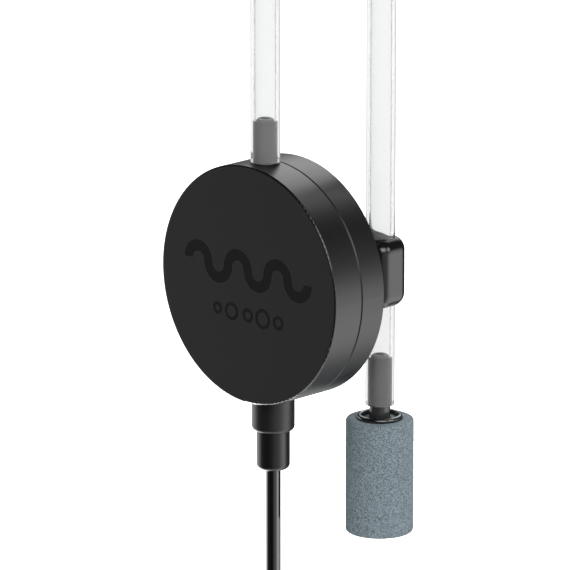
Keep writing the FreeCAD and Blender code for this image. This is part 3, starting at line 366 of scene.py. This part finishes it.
def winding_material():
    """Enamelled copper wire, wound round the inductor's axis, with painted shade: the colour is
    darker in the grooves between turns and lighter on their crests.
    """
    nodes = Surface.new("copper_winding")
    turns_with_painted_shade = nodes.add("ShaderNodeTexWave", {"bands_direction": "Y"}, Vector=nodes.place(),
                      Scale=1 / (0.9 * MM))
    # painted shade and highlight: dark brown in the grooves between turns, bright copper on the
    # crests
    nodes.set("Base Color", nodes.tint(turns_with_painted_shade.outputs["Fac"], (0.3, 0.1, 0.03), (0.8, 0.38, 0.17)))
    nodes.set("Metallic", 1.0)
    nodes.set("Roughness", 0.3)
    nodes.bump(turns_with_painted_shade.outputs["Fac"], 0.05 * MM)
    return nodes.owner


# ---------------------------------------------------------------- mesh helpers


def corners(name):
    """The low and high corners of a CAD node's box at rest."""
    low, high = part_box(name)
    return Vector(low), Vector(high)


def new_piece(name, builder, material, body, replaced):
    """Makes an object from a bmesh, rides it on a body and lets it stand for a CAD node.

    A piece with no body is not attached to any.
    """
    mesh = bpy.data.meshes.new(name)
    builder.normal_update()
    builder.to_mesh(mesh)
    builder.free()
    mesh.materials.append(material)
    mesh.shade_smooth()
    piece = bpy.data.objects.new(name, mesh)
    bpy.context.scene.collection.objects.link(piece)
    if body:
        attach(piece, body)
    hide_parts(replaced)
    return piece


def bridge_rings(builder, rings, closed):
    """Skins a list of vertex rings; closed joins the last ring to the first."""
    count = len(rings[0])
    pairs = list(zip(rings, rings[1:]))
    if closed:
        pairs.append((rings[-1], rings[0]))
    for low, high in pairs:
        for i in range(count):
            after = (i + 1) % count
            builder.faces.new((low[i], low[after], high[after], high[i]))


# ---------------------------------------------------------------- pieces


def hose_path():
    """Points, directions and bores along the hose: up from the nozzle, over the rim and down."""
    nozzle_low, nozzle_high = corners("air_nozzle")
    stone_low, stone_high = corners("air_stone")
    hose_low, hose_high = corners("air_hose")
    nozzle_top = nozzle_high.z
    nipple_top = corners("stone_nipple")[1].z
    up = Vector((0, 0, 1))

    start = (nozzle_low + nozzle_high) / 2
    start.z = corners("front_cover")[1].z + HOSE_END_GAP
    drop = (stone_low + stone_high) / 2
    drop.z = hose_low.z
    across = Vector((drop.x - start.x, drop.y - start.y, 0))
    bend = across.length / 2
    across.normalize()
    bend_height = hose_high.z - HOSE_RADIUS - bend

    points = [(start, up, HOSE_GRIP),
              (Vector((start.x, start.y, nozzle_top - GRIP_TAPER)), up, HOSE_GRIP)]
    for i in range(HOSE_STRAIGHT_STEPS):
        t = i / HOSE_STRAIGHT_STEPS
        height = nozzle_top + t * (bend_height - nozzle_top)
        points.append((Vector((start.x, start.y, height)), up, HOSE_BORE))
    centre = Vector((start.x, start.y, bend_height)) + across * bend
    for i in range(HOSE_BEND_STEPS + 1):
        angle = math.pi * (1 - i / HOSE_BEND_STEPS)
        arm = across * math.cos(angle) + up * math.sin(angle)
        heading = across * math.sin(angle) - up * math.cos(angle)
        points.append((centre + arm * bend, heading, HOSE_BORE))
    for i in range(1, HOSE_STRAIGHT_STEPS + 1):
        t = i / HOSE_STRAIGHT_STEPS
        height = bend_height + t * (nipple_top - bend_height)
        points.append((Vector((drop.x, drop.y, height)), -up, HOSE_BORE))
    points += [(Vector((drop.x, drop.y, nipple_top - GRIP_TAPER)), -up, HOSE_GRIP),
               (drop, -up, HOSE_GRIP)]
    return points, across, start, drop


def air_hose():
    """A clear tube with a real wall, closed at both ends by its annular faces.

    It is given no body, and stays where it is built.
    """
    points, across, start, drop = hose_path()
    side = across.cross(Vector((0, 0, 1)))
    builder = bmesh.new()
    skins = []
    for inside in (False, True):
        rings = []
        for centre, heading, bore in points:
            radius = bore if inside else HOSE_RADIUS
            third = side.cross(heading)
            ring = []
            for i in range(HOSE_SEGMENTS):
                angle = 2 * math.pi * i / HOSE_SEGMENTS
                offset = (side * math.cos(angle) + third * math.sin(angle)) * radius
                ring.append(builder.verts.new(centre + offset))
            rings.append(ring)
        skins.append(rings)
    outer, inner = skins
    bridge_rings(builder, outer + inner[::-1], closed=True)
    bmesh.ops.recalc_face_normals(builder, faces=builder.faces)
    piece = new_piece("clear_air_hose", builder, clear_hose_material(), None, "air_hose")
    piece.data.set_sharp_from_angle(angle=SHARP_ANGLE)
    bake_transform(piece)


def air_stone():
    """The stone as a cylinder of fine bonded grains with a real, uneven surface."""
    low, high = corners("air_stone")
    ring_low, ring_high = corners("stone_ring")
    nipple_low, nipple_high = corners("stone_nipple")
    axis = Vector(((low.x + high.x) / 2, (low.y + high.y) / 2, 0))
    radius = (high.x - low.x) / 2
    seat_radius = (ring_high.x - ring_low.x) / 2 + SOCKET_GAP
    bore = (nipple_high.x - nipple_low.x) / 2 + SOCKET_GAP
    profile = stone_profile(radius, seat_radius + RIM_MARGIN, low.z, high.z)
    inside = seat_radius - RING_BAND - 2 * SOCKET_GAP
    # smooth and exact: the ring's groove, the land inside it, and the nipple's hole
    sockets = [
        (seat_radius, high.z), (seat_radius, ring_low.z), (inside, ring_low.z), (inside, high.z),
        ((inside + bore) / 2, high.z), (bore, high.z), (bore, nipple_low.z - 2 * SOCKET_GAP)]
    segments = int(2 * math.pi * radius / STONE_STEP)
    builder = bmesh.new()
    rings = []
    for ring_radius, height in profile + sockets:
        rough = len(rings) < len(profile)
        ring = []
        for i in range(segments):
            angle = 2 * math.pi * i / segments
            spot = Vector((ring_radius * math.cos(angle), ring_radius * math.sin(angle), height))
            ring.append(builder.verts.new((grainy(spot, radius) if rough else spot) + axis))
        rings.append(ring)
    bridge_rings(builder, rings, closed=False)
    builder.faces.new(rings[0])
    builder.faces.new(rings[-1])
    bmesh.ops.recalc_face_normals(builder, faces=builder.faces)
    new_piece("porous_stone", builder, stone_material(), "stone", "air_stone")


def stone_profile(radius, rim_radius, bottom, top):
    """Radius and height from the middle of the underside, round the outside, to the ring's seat."""
    edge, step = STONE_EDGE, STONE_STEP
    profile = []
    flat = int((radius - edge) / step)
    for i in range(1, flat + 1):
        profile.append((i / flat * (radius - edge), bottom))
    for i in range(1, STONE_EDGE_STEPS + 1):
        angle = math.pi / 2 * i / STONE_EDGE_STEPS
        profile.append((radius - edge + edge * math.sin(angle),
                        bottom + edge - edge * math.cos(angle)))
    side = int((top - bottom - 2 * edge) / step)
    for i in range(1, side + 1):
        profile.append((radius, bottom + edge + i / side * (top - bottom - 2 * edge)))
    for i in range(1, STONE_EDGE_STEPS + 1):
        angle = math.pi / 2 * i / STONE_EDGE_STEPS
        profile.append((radius - edge + edge * math.cos(angle),
                        top - edge + edge * math.sin(angle)))
    rim = int((radius - edge - rim_radius) / step)
    for i in range(1, rim + 1):
        profile.append((radius - edge - i / rim * (radius - edge - rim_radius), top))
    return profile


def grainy(spot, radius):
    """Moves a point of the stone's surface inward by the relief, more or less by two noises."""
    coarse = noise.noise(spot / COARSE_GRAIN)
    fine = noise.noise(spot / FINE_GRAIN + FINE_OFFSET)
    depth = STONE_RELIEF * (1 + COARSE_SHARE * coarse + FINE_SHARE * fine)
    scale = 1 - depth / radius
    return Vector((spot.x * scale, spot.y * scale, spot.z))


def plug_grip():
    """The moulded grip: a ribbed strain relief above a fluted body, hollow for cable and barrel."""
    low, high = corners("plug_body")
    cable_low, cable_high = corners("power_cable")
    socket = corners("plug_barrel")[1].z
    centre = (low + high) / 2
    radius = (high.x - low.x) / 2
    cable_radius = (cable_high.x - cable_low.x) / 2
    wire_channel = cable_radius + WIRE_CLEARANCE
    shoulder = high.z - RELIEF_LENGTH

    # each corner: radius, height and how deep the flutes are there
    outline = [(cable_radius, high.z, 0)]
    for i in range(GRIP_RIBS):
        top = high.z - i * RIB_PITCH
        core = RIB_CORE + RIB_CORE_GROWTH * i
        outline += [
            (core, top, 0),
            (core + RIB_HEIGHT, top - RIB_SLOPE, 0),
            (core + RIB_HEIGHT, top - RIB_WIDTH + RIB_SLOPE, 0),
            (core, top - RIB_WIDTH, 0)]
    foot_radius, foot_rise = RELIEF_FOOT
    outline.append((foot_radius, shoulder + foot_rise, 0))
    outline += [(radius - inset, shoulder + rise, 0) for inset, rise in SHOULDER_ROUND]
    flute_top, flute_bottom = shoulder - FLUTE_MARGIN, low.z + FLUTE_MARGIN
    for i in range(FLUTE_STEPS + 1):
        t = i / FLUTE_STEPS
        depth = FLUTE_DEPTH * min(1.0, FLUTE_RUN_OUT * min(t, 1 - t))
        outline.append((radius, flute_top + t * (flute_bottom - flute_top), depth))
    outline += [
        (radius, low.z + GRIP_CORNER, 0),
        (radius - GRIP_CORNER_INSET, low.z + GRIP_CORNER_INSET, 0),
        (radius - GRIP_CORNER, low.z, 0),
        (CRIMP_RADIUS, low.z, 0),
        (CRIMP_RADIUS, socket, 0),
        (wire_channel, socket, 0),
        (wire_channel, cable_low.z, 0),
        (cable_radius, cable_low.z, 0)]

    builder = bmesh.new()
    rings = []
    for ring_radius, height, depth in outline:
        ring = []
        for i in range(GRIP_SEGMENTS):
            angle = 2 * math.pi * i / GRIP_SEGMENTS
            reach = ring_radius - depth * (0.5 - 0.5 * math.cos(FLUTES * angle))
            x, y = centre.x + reach * math.cos(angle), centre.y + reach * math.sin(angle)
            ring.append(builder.verts.new((x, y, height)))
        rings.append(ring)
    bridge_rings(builder, rings, closed=True)
    bmesh.ops.recalc_face_normals(builder, faces=builder.faces)
    grip = moulded("plug_grip", (0.012, 0.012, 0.012), 0.45)
    piece = new_piece("ribbed_plug_grip", builder, grip, "pump", "plug_body")
    piece.data.set_sharp_from_angle(angle=SHARP_ANGLE)


# ---------------------------------------------------------------- CAD nodes' materials


def dress(material, *names):
    for name in names:
        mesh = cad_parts[name].data
        mesh.materials.clear()
        mesh.materials.append(material)


def dress_cad_nodes():
    dress(housing_plastic(), "front_cover", "rear_cover")
    dress(moulded("collar_plastic", (0.006, 0.006, 0.006), 0.4), "gland_collar")
    dress(moulded("mark_ink", (0.003, 0.003, 0.003), 0.5, specular=0.15), "face_mark")
    dress(moulded("boot_rubber", (0.003, 0.003, 0.003), 0.33), "strain_relief")
    dress(moulded("pad_rubber", (0.02, 0.02, 0.02), 0.6), "glass_pad", "housing_seal", "holder_pad")
    dress(moulded("glossy_black", (0.005, 0.005, 0.005), 0.16, relief=0.002 * MM), "holder_body")
    dress(moulded("polished_black", (0.004, 0.004, 0.004), 0.05, relief=0.0005 * MM, specular=1.0),
          "stone_ring")
    dress(moulded("cable_jacket", (0.001, 0.001, 0.001), 0.06, relief=0.001 * MM, specular=0.8,
                  coat=0.3),
          "power_cable")
    dress(stem_material(), "air_nozzle", "stone_nipple")
    dress(moulded("natural_plastic", (0.55, 0.55, 0.52), 0.45), "valve_block", "manifold_cover")
    dress(moulded("milky_silicone", (0.7, 0.7, 0.67), 0.5), "bender_surround", "intake_flap",
          "outlet_flap", "nozzle_washer")
    dress(moulded("epoxy_case", (0.02, 0.02, 0.02), 0.5), "driver_chip", "board_chips")
    dress(moulded("ferrite", (0.05, 0.05, 0.053), 0.6), "inductor_core")
    dress(moulded("silvered_ceramic", (0.75, 0.74, 0.7), 0.35), "piezo_ceramic")
    dress(moulded("wire_insulation", (0.4, 0.02, 0.02), 0.35), "power_wires")
    dress(moulded("plug_insulator", (0.03, 0.03, 0.03), 0.4), "plug_insulator")
    dress(metal("nickel_plate", (0.72, 0.71, 0.68), 0.18), "pump_magnet", "holder_magnet",
          "plug_barrel", "plug_contact")
    dress(metal("rolled_steel", (0.5, 0.5, 0.52), 0.35, (12, 1, 1)), "magnet_keeper", "holder_keeper")
    dress(metal("zinc_plate", (0.6, 0.62, 0.65), 0.3), "cover_screws")
    dress(metal("tin_plate", (0.75, 0.75, 0.76), 0.25), "chip_leads", "board_capacitors")
    dress(metal("rolled_brass", (0.78, 0.57, 0.22), 0.28, (12, 1, 1)), "bender_disc")
    dress(metal("phosphor_bronze", (0.72, 0.45, 0.22), 0.3), "contact_springs")
    dress(winding_material(), "inductor_winding")
    dress(board_material(), "circuit_board")
    dress(felt_material(), "intake_filter")


# ---------------------------------------------------------------- studio and camera


# Softboxes: azimuth from the camera, positive to its right, elevation, half-angle, width of the
# soft edge (all in degrees) and strength.
GLOSSY_LIGHT = (
    (84, -30, 12, 30, 2.5),
    (45, -25, 10, 45, 0.7),
    (168, 46, 13, 25, 2.9),
    (180, -35, 18, 22, 0.62),
    (-158, -46, 9, 14, 6.0),
    (0, -90, 24, 14, 2.4),
    (62, 20, 8, 8, 4.5),
    (22, 24, 10, 10, 4.5),
    (-128, -15, 14, 18, 1.8),
    (-90, -15, 15, 25, 0.08),
    (-2, 24, 7, 13, 4.0),
)
GLOSSY_AMBIENT = 0.05
DIFFUSE_LIGHT = (
    (35, 35, 20, 60, 0.8),
)
DIFFUSE_AMBIENT = 0.62
SEEN_THROUGH_HOSE = (
    (180, -15, 25, 35, 0.74),
    (0, -15, 40, 40, 0.4),
)
SEEN_THROUGH_AMBIENT = 0.33
BACKDROP = 1.1


class World(Tree):
    """A plain world whose light depends on what kind of ray looks at it."""

    def __init__(self, name):
        super().__init__(bpy.data.worlds.new(name))
        self.direction = self.add("ShaderNodeTexCoord").outputs["Generated"]
        self.path = self.add("ShaderNodeLightPath").outputs

    def softbox(self, azimuth, elevation, half_angle, softness, strength):
        """A round soft light: strength inside half_angle, fading over softness."""
        heading = CAMERA_AZIMUTH + math.radians(azimuth)
        height = math.radians(elevation)
        towards = (math.sin(heading) * math.cos(height), -math.cos(heading) * math.cos(height),
                   math.sin(height))
        facing = self.add("ShaderNodeVectorMath", {"operation": "DOT_PRODUCT"})
        self.feed(facing.inputs[0], self.direction)
        self.feed(facing.inputs[1], towards)
        fade = self.add("ShaderNodeMapRange", {"interpolation_type": "SMOOTHSTEP"},
                        Value=facing.outputs["Value"],
                        From_Min=math.cos(math.radians(half_angle + softness)),
                        From_Max=math.cos(math.radians(half_angle)),
                        To_Min=0, To_Max=strength)
        return fade.outputs["Result"]

    def lights(self, softboxes, ambient):
        """All the softboxes together over an even light."""
        total = ambient
        for box in softboxes:
            total = self.maths("ADD", self.softbox(*box), total)
        return total

    def choose(self, kind, wanted, otherwise):
        """Brightness wanted for one kind of ray, and otherwise for the rest."""
        flag = self.path[kind]
        rest = self.maths("SUBTRACT", 1.0, flag)
        return self.maths("ADD", self.maths("MULTIPLY", flag, wanted),
                          self.maths("MULTIPLY", rest, otherwise))


def studio():
    """White behind the object, soft light on it, and softboxes on near-black in its reflections."""
    world = World("studio")
    bpy.context.scene.world = world.owner
    glossy = world.lights(GLOSSY_LIGHT, GLOSSY_AMBIENT)
    diffuse = world.lights(DIFFUSE_LIGHT, DIFFUSE_AMBIENT)
    through = world.lights(SEEN_THROUGH_HOSE, SEEN_THROUGH_AMBIENT)
    brightness = world.choose("Is Diffuse Ray", diffuse, glossy)
    brightness = world.choose("Is Transmission Ray", through, brightness)
    brightness = world.choose("Is Camera Ray", BACKDROP, brightness)
    background = world.tree.nodes["Background"]
    world.feed(background.inputs["Strength"], brightness)
    world.feed(background.inputs["Color"], (1, 1, 1, 1))


def pale_floor():
    """A white floor that only the camera sees."""
    mesh = bpy.data.meshes.new("floor")
    builder = bmesh.new()
    bmesh.ops.create_grid(builder, x_segments=1, y_segments=1, size=FLOOR_SIZE)
    builder.to_mesh(mesh)
    builder.free()
    floor = bpy.data.objects.new("floor", mesh)
    floor.location.z = cad_low.z - FLOOR_GAP
    bpy.context.scene.collection.objects.link(floor)
    nodes = Surface.new("pale_floor")
    nodes.set("Base Color", (0.9, 0.9, 0.9, 1))
    nodes.set("Roughness", 0.9)
    nodes.set("Emission Color", (1, 1, 1, 1))
    nodes.set("Emission Strength", 0.9)
    mesh.materials.append(nodes.owner)
    floor.visible_glossy = False
    floor.visible_diffuse = False
    floor.visible_transmission = False


def camera():
    a, e = CAMERA_AZIMUTH, CAMERA_ELEVATION
    right = Vector((math.cos(a), math.sin(a), 0))
    back = Vector((math.sin(a) * math.cos(e), -math.cos(a) * math.cos(e), math.sin(e)))
    up = back.cross(right)
    data = bpy.data.cameras.new("camera")
    data.lens = CAMERA_LENS
    data.sensor_width = CAMERA_SENSOR
    data.clip_start, data.clip_end = CAMERA_CLIP
    item = bpy.data.objects.new("camera", data)
    place = right * AIM_RIGHT + up * AIM_UP + back * CAMERA_DISTANCE
    turn = Matrix((right, up, back)).transposed().to_4x4()
    item.matrix_world = Matrix.Translation(place) @ turn
    bpy.context.scene.collection.objects.link(item)
    bpy.context.scene.camera = item


# ---------------------------------------------------------------- scene

dress_cad_nodes()
air_hose()
air_stone()
plug_grip()
studio()
pale_floor()
camera()
bpy.context.scene.view_settings.view_transform = "Standard"
